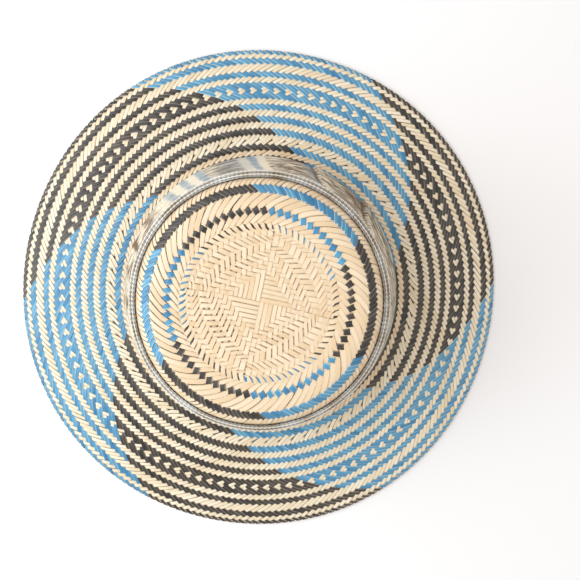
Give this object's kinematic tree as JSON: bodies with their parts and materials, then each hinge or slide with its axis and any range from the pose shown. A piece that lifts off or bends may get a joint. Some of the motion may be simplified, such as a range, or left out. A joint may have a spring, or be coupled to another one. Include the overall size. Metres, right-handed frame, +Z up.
{
  "type": "sun hat",
  "caption": "Woven straw sun hat with a round tapered crown, a wide down-sloping brim in coloured rings and a cloth band round the crown.",
  "frame": {"origin": "centre of the brim's outline, on the surface that the brim rests on", "axes": "+Z up through the crown, which sits 3 mm towards +X of the brim's centre"},
  "size_m": [0.3382, 0.3416, 0.1089],
  "materials": {
    "straw_natural": "woven natural straw, slight sheen",
    "straw_blue": "woven straw dyed blue",
    "straw_black": "woven straw dyed black",
    "band_cloth": "melange woven cloth, matt",
    "band_cord": "twisted cord, matt"
  },
  "bodies": {
    "root": {"woven_body": "straw_natural", "hat_band": "band_cloth", "band_edge_cords": "band_cord"}
  },
  "joints": []
}
